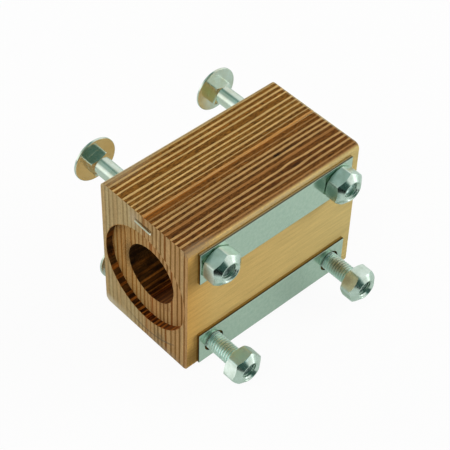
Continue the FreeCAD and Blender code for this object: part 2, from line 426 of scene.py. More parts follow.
@dataclass(frozen=True)
class Mark:
    """A stain, scuff, tint or dark fleck: an egg-shaped cloud with a ragged edge.

    Attributes:
        place: Its middle.
        reach: Its half sizes along X, Y and Z.
        colour: What it turns the surface to.
        strength: How much it does so at its middle.
    """

    place: Point
    reach: Point
    colour: str
    strength: float

    def over(self, surface: Surface, colour: Socket, ragged: Socket) -> Socket:
        """Lay the mark over a colour.

        Args:
            surface: The marked surface.
            colour: The colour without the mark.
            ragged: Noise from 0 to 1 that frays the mark's edge.

        Returns:
            The colour with the mark.
        """
        add = surface.add
        off = add(Kind.VECTOR, {0: surface.place, 1: self.place}, operation="SUBTRACT")
        egg = add(Kind.VECTOR, {0: off, 1: self.reach}, operation="DIVIDE")
        out = add(Kind.VECTOR, {0: egg}, out="Value", operation="LENGTH")
        out = add(Kind.MATH, {0: ragged, 1: MARK_FRAY, 2: out}, operation="MULTIPLY_ADD")
        share = add(Kind.RANGE, Run(MARK_WHOLE, MARK_GONE, self.strength, 0.0).along(out))
        return add(Kind.MIX, {0: share, MIX_A: colour, MIX_B: linear(self.colour)}, **COLOURS)


@dataclass(frozen=True)
class CrossPly:
    """A thin ply whose grain runs along the bore, between two thick plies whose grain stands upright.

    Attributes:
        middle: Where the ply's middle lies across the block, from the split.
        thickness: The ply's thickness.
        tone: How pale it is, 1 for the palest.
        warmth: How orange it is, 0 for plain tan.
    """

    middle: float
    thickness: float
    tone: float = 1.0
    warmth: float = 0.0


@dataclass(frozen=True)
class Grain:
    """How one cut through the wood looks.

    Attributes:
        rear: Its colour at the back of the block.
        front: Its colour at the front, under the straps.
        contrast: How far streaks and pores go above and below that colour, as a share of it.
    """

    rear: str
    front: str
    contrast: float

    def colour(self, surface: Surface, forward: Socket, figure: Socket) -> Socket:
        """Colour the cut: its tone from the back to the front, times its figure.

        Args:
            surface: The cut surface.
            forward: From 0 at the back to 1 at the front.
            figure: Its streaks or pores, from 0 to 1.

        Returns:
            The cut's colour.
        """
        add = surface.add
        tone = add(Kind.MIX, {0: forward, MIX_A: linear(self.rear), MIX_B: linear(self.front)}, **COLOURS)
        share = add(Kind.RANGE, Run(first=1 - self.contrast, last=1 + self.contrast).along(figure))
        return add(Kind.VECTOR, {0: tone, "Scale": share}, operation="SCALE")


@dataclass(frozen=True)
class Knot:
    """A place where the plies part and close again round a swelling.

    Attributes:
        place: Its middle along X and across Y.
        reach: Its half sizes along X and across Y.
        swell: Share by which the plies are spread at its middle.
    """

    place: tuple[float, float]
    reach: tuple[float, float]
    swell: float

    def part(self, surface: Surface, across: Socket) -> Socket:
        """Draw places near the knot in towards its middle, so that the plies spread there.

        Args:
            surface: The surface of the wood.
            across: Where a point lies across the plies.

        Returns:
            Where it lies with the knot.
        """
        add = surface.add
        shrink = (1 / self.reach[0], 1 / self.reach[1], 0.0)
        off = add(Kind.VECTOR, {0: surface.place, 1: (*self.place, 0.0)}, operation="SUBTRACT")
        egg = add(Kind.VECTOR, {0: off, 1: shrink}, operation="MULTIPLY")
        out = add(Kind.VECTOR, {0: egg}, out="Value", operation="LENGTH")
        pull = add(Kind.RANGE, Run(first=-self.swell, last=0.0).along(out), interpolation_type="SMOOTHSTEP")
        aside = add(Kind.MATH, {0: surface.spot("Y"), 1: self.place[1]}, operation="SUBTRACT")
        return add(Kind.MATH, {0: pull, 1: aside, 2: across}, operation="MULTIPLY_ADD")


@dataclass(frozen=True)
class ScribedArc:
    """A grey arc scribed low on the near end, concentric with the bore.

    Attributes:
        radius: The arc's radius.
        colour: The line's colour.
        line: The line from its middle to where it has faded.
        low: The arc's beginning and full strength, down the end.
        end: The near end's face, along X.
        side: How strong the arc is, from the rear forwards.
    """

    radius: float = 37.7
    colour: str = "5A5448"
    line: Run = Run(0.25, 0.7, 1.0, 0.0)
    low: Run = Run(-30.0, -34.0)
    end: Run = Run(-54.5, -54.9)
    side: Run = Run(18.0, 4.0, 0.15, 0.65)

    def over(self, surface: Surface, colour: Socket, out: Socket) -> Socket:
        """Draw the arc over a colour.

        Args:
            surface: The surface of the wood.
            colour: The colour without the arc.
            out: Distance from the bore's axis.

        Returns:
            The colour with the arc.
        """
        add = surface.add
        off = add(Kind.MATH, {0: out, 1: self.radius}, operation="SUBTRACT")
        share = add(Kind.RANGE, self.line.along(add(Kind.MATH, {0: off}, operation="ABSOLUTE")))
        for run, axis in ((self.low, "Z"), (self.end, "X"), (self.side, "Y")):
            shown = add(Kind.RANGE, run.along(surface.spot(axis)))
            share = add(Kind.MATH, {0: share, 1: shown}, operation="MULTIPLY")
        return add(Kind.MIX, {0: share, MIX_A: colour, MIX_B: linear(self.colour)}, **COLOURS)


@dataclass(frozen=True)
class LaminatedWood:
    """Beech veneers glued up into a thick block, sawn and bored, unvarnished.

    The plies are flat sheets across Y.  Thick plies have upright grain: they show dark, porous end grain on
    the top and streaked long grain on the ends.  Thin cross plies have grain along the bore: pale lines on
    the top and darker lines on the ends.  The sides are a plain tan face veneer.  Bored walls are burnt dark
    and carry painted shade, paler towards the front where they are lit; the recess's turned floor carries a
    painted shade tint.
    Bare wood has no gloss to speak of, so it is rough and hardly mirrors anything.

    The grain's real pores are about a tenth of a millimetre wide, and fibres torn by the saw two or three
    tenths.  Both are drawn between half a millimetre and a millimetre wide, so that they show.

    Attributes:
        name: The material's name.
        cross_plies: The cross plies of this half.
        seed: Start of the random draws for the upright plies.
        knots: Knots on the top.
        marks: Stains, scuffs and flecks.
        veneer_tones: Colours of the side veneer at the near end, at its turn and at the far end.
        veneer_turn: Share of the length where the second colour is reached.
        slope: How far the plies run askew, in millimetres across for each along X.
        drift: Figure of the plies' wandering.
        wander: How far they wander.
        frayed: Figure of the plies' ragged edges.
        fray: How far the edges are out.
        upright_tones: Least and greatest tone of an upright ply.
        upright_warmths: Least and greatest warmth of an upright ply.
        upright_long: Long grain of upright plies, on the ends.
        upright_end: End grain of upright plies, on the top.
        cross_long: Long grain of cross plies, on the top.
        cross_end: End grain of cross plies, on the ends.
        upright_streaks: Figure of the long grain of upright plies.
        cross_streaks: Figure of the long grain of cross plies.
        pores: Figure of all end grain.
        saw_marks: Figure of the fibres torn by the saw.
        fading: Figure of the patches in which cross plies fade.
        veneer_streaks: Figure of the side veneer.
        scorch: Figure of the burnt patches.
        forward: The way across Y from the rear colours to the front ones.
        faded: Shares of cross plies' colour over their fading.
        sheet_tones: Shares of the wood's colour over a sheet's tone.
        end_tone: The share on the ends, where the sheets are all alike.
        warm: The tint of a warm sheet.
        veneer_shades: Shares of the veneer's colour over its streaks.
        side_facing: How squarely a face looks sideways, from the first that shows veneer to all of it.
        bored_reach: Distance from the bore's axis within which all faces were bored.
        wall_facing: How squarely a bored wall may face along the bore.
        scorch_shades: How burnt patches pale over the grain's streaks.
        spared_and_lit: How much paler the burnt and shaded bored walls are towards the front, where they are
            lit.
        bore_lines: How clearly cross plies show, from the bore's wall out to the recess's.
        burnt_and_shaded_upright: Darkest and palest tint of upright plies on bored walls, burnt and painted
            with shade.
        burnt_and_shaded_cross: Darkest and palest tint of cross plies on bored walls, burnt and painted with
            shade.
        turned_shade_tints: Tints of painted shade for upright and cross plies on the recess's turned floor.
        turned_fading: How strong those tints are from the rear to the front.
        arc: The arc scribed on the near end.
        speckle: Strength of the saw marks on sawn faces and on veneer.
        relief: Strength of the relief on sawn faces and on veneer.
        pore_relief: Height of the pores' rims, as a share of the cross plies' height.
        relief_depth: Height of the cross plies over the upright ones.
        roughness: The bare wood's roughness.
        specular: The bare wood's specular level.
    """

    name: str
    cross_plies: tuple[CrossPly, ...]
    seed: int
    knots: tuple[Knot, ...] = ()
    marks: tuple[Mark, ...] = ()
    veneer_tones: tuple[str, str, str] = ("C69A52", "C8A866", "BFAA6E")
    veneer_turn: float = 0.16
    slope: float = 0.006
    drift: Figure = Figure((62.5, 20.0, 62.5), 1.0)
    wander: float = 0.5
    frayed: Figure = Figure((8.33, 1.11, 8.33))
    fray: float = 0.25
    upright_tones: tuple[float, float] = (0.4, 1.0)
    upright_warmths: tuple[float, float] = (0.0, 0.3)
    upright_long: Grain = Grain("BCAA7D", "BC9C6B", 0.16)
    upright_end: Grain = Grain("775220", "623E19", 0.75)
    cross_long: Grain = Grain("C3A165", "B6905A", 0.14)
    cross_end: Grain = Grain("AA9162", "8C6735", 0.14)
    upright_streaks: Figure = Figure((1.11, 0.77, 25.0))
    cross_streaks: Figure = Figure((28.6, 1.25, 1.25))
    pores: Figure = Figure((2.5, 0.556, 0.833), 4.0)
    saw_marks: Figure = Figure((0.91, 0.91, 0.91), 2.0)
    fading: Figure = Figure((20.0, 2.5, 20.0))
    veneer_streaks: Figure = Figure((20.0, 1.0, 1.11), 4.0)
    scorch: Figure = Figure((10.0, 4.55, 4.55))
    forward: Run = Run(13.0, -13.0)
    faded: Run = Run(first=0.78, last=1.06)
    sheet_tones: Run = Run(first=0.62, last=1.0)
    end_tone: float = 0.9
    warm: str = "FFC47E"
    veneer_shades: Run = Run(first=0.86, last=1.14)
    side_facing: Run = Run(0.3, 0.7)
    bored_reach: float = 29.3
    wall_facing: float = 0.25
    scorch_shades: Run = Run(first=0.25, last=1.0)
    spared_and_lit: Run = Run(5.0, -13.0, 0.0, 0.5)
    bore_lines: Run = Run(17.0, 24.0, 0.28, 1.0)
    burnt_and_shaded_upright: tuple[str, str] = ("2C1E14", "C09464")
    burnt_and_shaded_cross: tuple[str, str] = ("7A5028", "E8AC6C")
    turned_shade_tints: tuple[str, str] = ("FFE4C3", "EEC185")
    turned_fading: Run = Run(first=1.0, last=0.3)
    arc: ScribedArc = ScribedArc()
    speckle: Run = Run(first=0.14, last=0.05)
    relief: Run = Run(first=0.25, last=0.06)
    pore_relief: float = 0.6
    relief_depth: float = 0.15
    roughness: float = 0.7
    specular: float = 0.08

    def upright_sheet(self, draw: np.random.Generator) -> Colour:
        """Draw an upright ply's tone and warmth, and pack them as the ramp needs them."""
        return (0.0, draw.uniform(*self.upright_tones), draw.uniform(*self.upright_warmths), 1.0)

    def plies(self, surface: Surface) -> tuple[Socket, Socket, Socket]:
        """Lay the plies out as a stepped ramp across the block.

        They wander, have ragged edges and part at knots.

        Args:
            surface: The surface of the wood.

        Returns:
            1 for cross plies and 0 for upright ones, the ply's tone, and its warmth.
        """
        add = surface.add
        across = add(Kind.MATH, {0: surface.spot("X"), 1: -self.slope, 2: surface.spot("Y")},
                     operation="MULTIPLY_ADD")
        for figure, shift in ((self.drift, self.wander), (self.frayed, self.fray)):
            swing = add(Kind.MATH, {0: surface.pattern(figure), 1: 0.5}, operation="SUBTRACT")
            across = add(Kind.MATH, {0: swing, 1: shift, 2: across}, operation="MULTIPLY_ADD")
        for knot in self.knots:
            across = knot.part(surface, across)
        half = HALF_SIZE[1]
        draw = np.random.default_rng(self.seed)
        sheets: list[tuple[float, Colour]] = []
        edge = -half
        for ply in sorted(self.cross_plies, key=lambda ply: ply.middle):
            sheets.append((edge, self.upright_sheet(draw)))
            sheets.append((ply.middle - ply.thickness / 2, (1.0, ply.tone, ply.warmth, 1.0)))
            edge = ply.middle + ply.thickness / 2
        sheets.append((edge, self.upright_sheet(draw)))
        share = add(Kind.RANGE, Run(-half, half).along(across))
        stops = tuple(((where + half) / (2 * half), sheet) for where, sheet in sheets)
        stack = add(Kind.RAMP, {0: share}, stops=stops)
        stack.node.color_ramp.interpolation = "CONSTANT"
        split = add(Kind.SPLIT_COLOUR, {0: stack}).node.outputs
        return split["Red"], split["Green"], split["Blue"]

    def veneer(self, surface: Surface) -> Socket:
        """Colour the side faces: one sheet of veneer, browner towards the near end.

        Args:
            surface: The surface of the wood.

        Returns:
            The veneer's colour.
        """
        add = surface.add
        along = add(Kind.RANGE, Run(-HALF_SIZE[0], HALF_SIZE[0]).along(surface.spot("X")))
        near, middle, far = (linear(tone) for tone in self.veneer_tones)
        tone = add(Kind.RAMP, {0: along}, stops=((0.0, near), (self.veneer_turn, middle), (1.0, far)))
        shade = add(Kind.RANGE, self.veneer_shades.along(surface.pattern(self.veneer_streaks)))
        return add(Kind.VECTOR, {0: tone, "Scale": shade}, operation="SCALE")

    def burn_and_shade(self, surface: Surface, crossed: Socket, streaks: Socket, out: Socket) -> Socket:
        """Work out the tint of the bored walls: burnt and painted shade in patches, paler towards the front
        where they are lit, with paler lines where cross plies run.

        Args:
            surface: The surface of the wood.
            crossed: 1 for cross plies and 0 for upright ones.
            streaks: Figure of the grain along the bore.
            out: Distance from the bore's axis.

        Returns:
            The tint to multiply the wood's colour by.
        """
        add = surface.add
        shade = add(Kind.RANGE, self.scorch_shades.along(streaks))
        pale = add(Kind.MATH, {0: surface.pattern(self.scorch), 1: shade}, operation="MULTIPLY")
        # less painted shade towards the front, where the walls are lit
        spared_and_lit = add(Kind.RANGE, self.spared_and_lit.along(surface.spot("Y")))
        pale = add(Kind.MATH, {0: pale, 1: spared_and_lit}, operation="ADD", use_clamp=True)
        upright, cross = (
            add(Kind.MIX, {0: pale, MIX_A: linear(darkest), MIX_B: linear(palest)}, **COLOURS)
            for darkest, palest in (self.burnt_and_shaded_upright, self.burnt_and_shaded_cross))
        clear = add(Kind.RANGE, self.bore_lines.along(out))
        lined = add(Kind.MATH, {0: crossed, 1: clear}, operation="MULTIPLY")
        return add(Kind.MIX, {0: lined, MIX_A: upright, MIX_B: cross}, **COLOURS)

    def build(self) -> bpy.types.Material:
        """Make the material.

        Returns:
            The finished material.
        """
        surface = Surface.start(self.name)
        add = surface.add
        crossed, tone, warmth = self.plies(surface)
        forward = add(Kind.RANGE, self.forward.along(surface.spot("Y")))
        upright_streaks, cross_streaks, pores, saw_marks = (surface.pattern(figure) for figure in (
            self.upright_streaks, self.cross_streaks, self.pores, self.saw_marks))

        # how squarely a face cuts the wood along each axis: the squares of its normal, which add up to one
        cuts = {}
        for axis in "XYZ":
            facing = surface.facing(axis)
            cuts[axis] = add(Kind.MATH, {0: facing, 1: facing}, operation="MULTIPLY")

        # upright plies show end grain on the top, and cross plies on the ends
        upright = add(Kind.MIX, {
            0: cuts["Z"], MIX_A: self.upright_long.colour(surface, forward, upright_streaks),
            MIX_B: self.upright_end.colour(surface, forward, pores)}, **COLOURS)
        cross = add(Kind.MIX, {
            0: cuts["X"], MIX_A: self.cross_long.colour(surface, forward, cross_streaks),
            MIX_B: self.cross_end.colour(surface, forward, pores)}, **COLOURS)
        faded = add(Kind.RANGE, self.faded.along(surface.pattern(self.fading)))
        cross = add(Kind.VECTOR, {0: cross, "Scale": faded}, operation="SCALE")
        wood = add(Kind.MIX, {0: crossed, MIX_A: upright, MIX_B: cross}, **COLOURS)

        # each sheet has its own tone and warmth, but on the ends the tones are alike
        tone = add(Kind.RANGE, self.sheet_tones.along(tone))
        tone = add(Kind.MIX, {0: cuts["X"], NUMBER_A: tone, NUMBER_B: self.end_tone})
        wood = add(Kind.VECTOR, {0: wood, "Scale": tone}, operation="SCALE")
        wood = add(Kind.MIX, {0: warmth, MIX_A: wood, MIX_B: linear(self.warm)}, **TINTS)

        # veneer covers the sides, except within the bore and its recesses
        round_about = add(Kind.VECTOR, {0: surface.place, 1: (0.0, 1.0, 1.0)}, operation="MULTIPLY")
        out = add(Kind.VECTOR, {0: round_about}, out="Value", operation="LENGTH")
        bored = add(Kind.MATH, {0: out, 1: self.bored_reach}, operation="LESS_THAN")
        sideways = add(Kind.RANGE, self.side_facing.along(cuts["Y"]))
        side = add(Kind.MATH, {0: sideways, 1: bored}, operation="SUBTRACT", use_clamp=True)
        wood = add(Kind.MIX, {0: side, MIX_A: wood, MIX_B: self.veneer(surface)}, **COLOURS)

        # bored walls are burnt and carry painted shade; the turned floor of a recess gets a warm painted
        # shade tint, and its lines are stronger
        upended = add(Kind.MATH, {0: cuts["X"], 1: self.wall_facing}, operation="LESS_THAN")
        wall = add(Kind.MATH, {0: bored, 1: upended}, operation="MULTIPLY")
        burn_and_shade = self.burn_and_shade(surface, crossed, cross_streaks, out)
        wood = add(Kind.MIX, {0: wall, MIX_A: wood, MIX_B: burn_and_shade}, **TINTS)
        floor = add(Kind.MATH, {0: bored, 1: wall}, operation="SUBTRACT")
        strength = add(Kind.RANGE, self.turned_fading.along(forward))
        floor = add(Kind.MATH, {0: floor, 1: strength}, operation="MULTIPLY")
        # painted shade of the recess on its turned floor
        upright_tint, cross_tint = (linear(tint) for tint in self.turned_shade_tints)
        turned = add(Kind.MIX, {0: crossed, MIX_A: upright_tint, MIX_B: cross_tint}, **COLOURS)
        wood = add(Kind.MIX, {0: floor, MIX_A: wood, MIX_B: turned}, **TINTS)

        # the scribed arc, the marks, and the saw's speckle over all
        wood = self.arc.over(surface, wood, out)
        for mark in self.marks:
            wood = mark.over(surface, wood, saw_marks)
        speck = add(Kind.RANGE, Run(first=-1.0, last=1.0).along(saw_marks))
        speckle = add(Kind.RANGE, self.speckle.along(side))
        shade = add(Kind.MATH, {0: speck, 1: speckle, 2: 1.0}, operation="MULTIPLY_ADD")
        wood = add(Kind.VECTOR, {0: wood, "Scale": shade}, operation="SCALE")

        height = add(Kind.MATH, {0: pores, 1: self.pore_relief, 2: crossed}, operation="MULTIPLY_ADD")
        relief = add(Kind.RANGE, self.relief.along(side))
        bump = add(Kind.BUMP, {"Height": height, "Strength": relief, "Distance": self.relief_depth * MM})
        return surface.show(add(Kind.PRINCIPLED, {
            "Base Color": wood, "Roughness": self.roughness, "Normal": bump,
            "Specular IOR Level": self.specular}))


@dataclass(frozen=True)
class ZincPlate:
    """Zinc plate with a clear blue passivate: pale, slightly green, soft or bright as the steel under it.

    The plate's real grain is about a twentieth of a millimetre wide.  It is drawn more than half a
    millimetre wide, so that it shows.

    Attributes:
        name: The material's name.
        pale: The clean plate's colour.
        stained: The colour where the passivate is thicker.
        stain_size: Width of a stained patch.
        stain_share: How strongly the patches show.
        roughness: Least and greatest roughness.
        marks: Rusty stains, tints and dull places.
        grain: Figure of the plate's grain.
        grain_strength: Strength of the grain's relief.
        grain_depth: Height of the grain's relief.
    """

    name: str
    pale: str
    stained: str
    stain_size: float
    stain_share: float
    roughness: tuple[float, float]
    marks: tuple[Mark, ...] = ()
    grain: Figure = Figure((0.625, 0.625, 0.625), 2.0)
    grain_strength: float = 0.03
    grain_depth: float = 0.05

    def worked(self, surface: Surface, colour: Socket, rough: Socket) -> tuple[Socket, Socket]:
        """Return colour and roughness as they are: a plain piece is alike on all sides."""
        return colour, rough

    def build(self) -> bpy.types.Material:
        """Make the material.

        Returns:
            The finished material.
        """
        surface = Surface.start(self.name)
        add = surface.add
        patches = surface.pattern(Figure((self.stain_size, self.stain_size, self.stain_size)))
        grain = surface.pattern(self.grain)
        share = add(Kind.MATH, {0: patches, 1: self.stain_share}, operation="MULTIPLY")
        colour = add(Kind.MIX, {0: share, MIX_A: linear(self.pale), MIX_B: linear(self.stained)}, **COLOURS)
        rough = add(Kind.RANGE, Run(first=self.roughness[0], last=self.roughness[1]).along(grain))
        colour, rough = self.worked(surface, colour, rough)
        for mark in self.marks:
            colour = mark.over(surface, colour, grain)
        bump = add(Kind.BUMP, {"Height": grain, "Strength": self.grain_strength,
                               "Distance": self.grain_depth * MM})
        return surface.show(add(Kind.PRINCIPLED, {
            "Base Color": colour, "Metallic": 1.0, "Roughness": rough, "Normal": bump}))


@dataclass(frozen=True)
class ShearedStrip(ZincPlate):
    """Zinc-plated strip that was sheared to size: its edges are dull, and coloured with a painted reflection
    of the shaded wood.

    Attributes:
        mirrored_edge_colours: Colours of the edges at the wood and at the outer face: dull metal with painted
            reflection, tan of the wood and dark of its shade.
        edge_facing: How far the normal leans to Y, from the first that is an edge to all of it.
        edge_turn: The way across Y from the first edge colour to the second.
    """

    mirrored_edge_colours: tuple[str, str] = ("B8A57C", "3C3626")
    edge_facing: Run = Run(0.8, 0.3)
    edge_turn: Run = Run(-31.6, -32.6)

    def worked(self, surface: Surface, colour: Socket, rough: Socket) -> tuple[Socket, Socket]:
        """Give the edges dull colours with a painted reflection of the shaded wood.

        Args:
            surface: The strip's surface.
            colour: The plate's colour.
            rough: The plate's roughness.

        Returns:
            Colour and roughness of the strip.
        """
        add = surface.add
        lean = add(Kind.MATH, {0: surface.facing("Y")}, operation="ABSOLUTE")
        edge = add(Kind.RANGE, self.edge_facing.along(lean))
        turn = add(Kind.RANGE, self.edge_turn.along(surface.spot("Y")))
        # painted reflection on the edges: tan of the wood beside them, dark of its shade at the outer face
        inner, outer = (linear(tone) for tone in self.mirrored_edge_colours)
        dull = add(Kind.MIX, {0: turn, MIX_A: inner, MIX_B: outer}, **COLOURS)
        return add(Kind.MIX, {0: edge, MIX_A: colour, MIX_B: dull}, **COLOURS), rough


@dataclass(frozen=True)
class RolledBolt(ZincPlate):
    """Zinc plate on a bolt: bright on the head, neck and shank, softer on the rolled thread, with painted
    light in its roots.

    Attributes:
        root_painted_light: Painted light in the roots of the thread: a paler colour that takes out their
            shade.
        roots: How much of it shows, by the distance from the bolt's axis.
        front: The way along Y from the bright end to the end with the thread.
        thread_roughness: Roughness of the end with the thread.
    """

    root_painted_light: str = "E8FFFA"
    roots: Run = Run(5.4, 4.1, 0.0, 0.9)
    front: Run = Run(40.0, 20.0)
    thread_roughness: float = 0.42

    def worked(self, surface: Surface, colour: Socket, rough: Socket) -> tuple[Socket, Socket]:
        """Make the thread softer, and paint light into its roots so that their shade is taken out.

        The four bolts lie alike about the bore, so folded places tell how far a point is from the axis of
        its bolt.

        Args:
            surface: The bolt's surface.
            colour: The plate's colour.
            rough: The plate's roughness.

        Returns:
            Colour and roughness of the bolt.
        """
        add = surface.add
        folded = add(Kind.VECTOR, {0: surface.place}, operation="ABSOLUTE")
        aside = add(Kind.VECTOR, {0: folded, 1: BOLT_AXIS}, operation="SUBTRACT")
        aside = add(Kind.VECTOR, {0: aside, 1: (1.0, 0.0, 1.0)}, operation="MULTIPLY")
        out = add(Kind.VECTOR, {0: aside}, out="Value", operation="LENGTH")
        front = add(Kind.RANGE, self.front.along(surface.spot("Y")))
        # painted light: the thread's roots are paled, more the deeper they lie
        root = add(Kind.MATH, {0: add(Kind.RANGE, self.roots.along(out)), 1: front}, operation="MULTIPLY")
        rough = add(Kind.MIX, {0: front, NUMBER_A: rough, NUMBER_B: self.thread_roughness})
        return add(Kind.MIX, {0: root, MIX_A: colour, MIX_B: linear(self.root_painted_light)}, **COLOURS), rough


@dataclass(frozen=True)
class DrawnNut(ZincPlate):
    """Zinc plate on a nut that was cut from a drawn bar: bright on the turned cone, softer on the flats.

    Attributes:
        flat_roughness: Roughness of the flats.
        flat_facing: How far the normal leans to Y, from the first that is a flat to all of it.
    """

    flat_roughness: float = 0.36
    flat_facing: Run = Run(0.25, 0.1)

    def worked(self, surface: Surface, colour: Socket, rough: Socket) -> tuple[Socket, Socket]:
        """Make the flats softer.

        Args:
            surface: The nut's surface.
            colour: The plate's colour.
            rough: The plate's roughness.

        Returns:
            Colour and roughness of the nut.
        """
        add = surface.add
        lean = add(Kind.MATH, {0: surface.facing("Y")}, operation="ABSOLUTE")
        flat = add(Kind.RANGE, self.flat_facing.along(lean))
        return colour, add(Kind.MIX, {0: flat, NUMBER_A: rough, NUMBER_B: self.flat_roughness})


@dataclass(frozen=True)
class Thread:
    """A right-hand metric thread along Y.

    Attributes:
        radius: Radius over the crests.
        pitch: Advance in one turn.
        depth: Depth of the groove.
        crest: Share of a turn that the flat crest takes.
        root: Share of a turn that the flat root takes.
    """

    radius: float = 4.9
    pitch: float = 1.5
    depth: float = 0.92
    crest: float = 0.16
    root: float = 0.22

    def surface(self, turn: np.ndarray, along: np.ndarray) -> np.ndarray:
        """Work out the radius: a wave with eased flanks, flat crests and flat roots, wound round the axis.

        Args:
            turn: Angle about the axis, from X towards Z.
            along: Place along Y.

        Returns:
            The radius at each place.
        """
        phase = np.abs(((along / self.pitch + turn / (2 * np.pi)) % 1.0) - 0.5) * 2
        groove = np.clip((phase - self.crest) / (1 - self.crest - self.root), 0.0, 1.0)
        return self.radius - self.depth * ease(groove)


@dataclass
class CarriageBolt:
    """A carriage bolt: low domed head, square neck, plain shank, rolled thread and a dished tip.

    Attributes:
        node: The solid that it stands for.
        body: The body that it moves with.
        neck_turn: Turn of the square neck, in degrees.
        thread: Its thread, whose radius is also the shank's.
        columns: Points round the bolt.
        head_height: Height of the crown over the head's underside.
        head_rim: Height of the dome's edge over the underside.
        rim_round: Radius of the rim's lower corner.
        dome_rows: Rows of points over the dome, the first one a crown_gap of the way from the crown.
        crown_gap: Share of the dome that the first row leaves open.
        rim_rows: Rows of points round the rim's lower corner.
        edge_step: How far inside the rim's corner the flat underside begins.
        foot_steps: How far outside the neck's foot the underside's last two rows lie.
        neck_width: Width of the square neck across flats.
        neck_length: Length of the neck.
        neck_squareness: Power that makes the neck square with rounded corners.
        neck_shoulder: Length of the cone that takes the neck's corners down to the shank.
        neck_fillet: Size of the fine fillet at the neck's foot.
        fillet_points: Shares of the fillet at its rows.
        neck_shares: Shares of the neck's flats, and then of its cone, at their rows.
        shank_step: How far past the neck the shank's first row lies.
        shank_rows: Rows of points along the plain shank.
        thread_length: Length of the full thread.
        runout: Length in which the thread fades into the shank.
        rows_per_turn: Rows of points in one turn of the thread.
        tip_chamfer: Length and depth of the tip's chamfer.
        tip_rows: Rows of points along the chamfer.
        dimple_radius: Radius of the dish in the tip.
        dimple_depth: Depth of the dish.
        dimple_rows: Rows of points over the dish, the last one a dimple_gap of the way from its middle.
        dimple_gap: Share of the dish that the last row leaves open.
    """

    node: str
    body: str
    neck_turn: float
    thread: Thread
    columns: int = 96
    head_height: float = 5.2
    head_rim: float = 1.1
    rim_round: float = 0.35
    dome_rows: int = 20
    crown_gap: float = 0.02
    rim_rows: int = 6
    edge_step: float = 0.1
    foot_steps: tuple[float, float] = (0.3, 0.05)
    neck_width: float = 10.0
    neck_length: float = 5.4
    neck_squareness: float = 16.0
    neck_shoulder: float = 0.9
    neck_fillet: float = 0.05
    fillet_points: tuple[float, float, float] = (0.0, 0.3, 1.0)
    neck_shares: tuple[float, ...] = (0.1, 0.325, 0.55, 0.775, 1.0)
    shank_step: float = 0.3
    shank_rows: int = 6
    thread_length: float = 28.0
    runout: float = 2.5
    rows_per_turn: int = 20
    tip_chamfer: float = 1.0
    tip_rows: int = 5
    dimple_radius: float = 2.2
    dimple_depth: float = 0.8
    dimple_rows: int = 6
    dimple_gap: float = 0.05

    def head(self, radius: float) -> tuple[np.ndarray, np.ndarray]:
        """Work out the head's outline from its crown to its underside.

        The dome is part of a sphere through the crown and the rim, and a small quarter round joins it to
        the underside.

        Args:
            radius: The head's radius.

        Returns:
            Radii, and heights over the underside.
        """
        rise = self.head_height - self.head_rim
        sphere = (radius ** 2 + rise ** 2) / (2 * rise)
        sweep = np.linspace(self.crown_gap, 1.0, self.dome_rows) * math.asin(radius / sphere)
        bend = np.linspace(0.0, math.pi / 2, self.rim_rows)
        radii = [sphere * np.sin(sweep), radius - self.rim_round * (1 - np.cos(bend))]
        heights = [self.head_height - sphere * (1 - np.cos(sweep)), self.rim_round * (1 - np.sin(bend))]
        return np.concatenate(radii), np.concatenate(heights)

    def neck(self, away: np.ndarray, head_radius: float) -> tuple[np.ndarray, np.ndarray]:
        """Work out the head's flat underside and the neck.

        The neck's outline is a square with rounded corners: its X and its Z, each to a high power, add up to
        a constant.  A fine fillet joins it to the underside, and a cone takes its corners down to the shank.

        Args:
            away: Angle from the middle of a flat, column by column.
            head_radius: The head's radius.

        Returns:
            Radii, and depths under the head, as rows of rings.
        """
        power = self.neck_squareness
        sides = np.abs(np.cos(away)) ** power + np.abs(np.sin(away)) ** power
        square = self.neck_width / 2 / sides ** (1 / power)
        shank = self.thread.radius
        flat = np.zeros_like(away)
        foot = square + self.neck_fillet
        fillet = self.neck_fillet * np.array(self.fillet_points)[:, None]
        brow = self.neck_length - self.neck_shoulder * (square - shank) / (square.max() - shank)
        down = np.array(self.neck_shares)[:, None]
        rim = head_radius - self.rim_round - self.edge_step
        radii = [flat + rim, foot + self.foot_steps[0], foot + self.foot_steps[1], square + fillet[::-1],
                 square + 0 * down, square + (shank - square) * down]
        depths = [flat, flat, flat, flat + fillet, self.neck_fillet + (brow - self.neck_fillet) * down,
                  brow + (self.neck_length - brow) * down]
        return np.vstack(radii), np.vstack(depths)

    def shaft(self, turn: np.ndarray, neck_end: float, tip: float) -> tuple[np.ndarray, np.ndarray]:
        """Work out the plain shank, the thread, the chamfered tip and its dish.

        The thread eases out of the shank over its runout.  The chamfer is a cone that cuts the thread, and
        the dish is a paraboloid.

        Args:
            turn: Angle about the axis, column by column.
            neck_end: Where along Y the neck ends.
            tip: Where along Y the tip lies.

        Returns:
            Radii as rows of rings, and the rows' places along Y.
        """
        shank = self.thread.radius
        start = tip + self.thread_length + self.runout
        point = tip + self.tip_chamfer
        plain_y = np.linspace(neck_end - self.shank_step, start, self.shank_rows)
        turns = (start - point) / self.thread.pitch
        thread_y = np.linspace(start, point, round(turns * self.rows_per_turn))
        point_y = np.linspace(point, tip, self.tip_rows)[1:]
        dish = np.linspace(1.0, self.dimple_gap, self.dimple_rows)
        fade = ease(np.clip((start - thread_y) / self.runout, 0.0, 1.0))[:, None]
        wound = shank - (shank - self.thread.surface(turn, thread_y[:, None])) * fade
        cone = (shank - (point - point_y))[:, None]
        pointed = np.minimum(self.thread.surface(turn, point_y[:, None]), cone)
        flat = np.zeros_like(turn)
        radii = [np.full_like(plain_y, shank)[:, None] + flat, wound, pointed,
                 self.dimple_radius * dish[:, None] + flat]
        dish_y = tip + self.dimple_depth * (1 - dish ** 2)
        return np.vstack(radii), np.concatenate([plain_y, thread_y, point_y, dish_y])

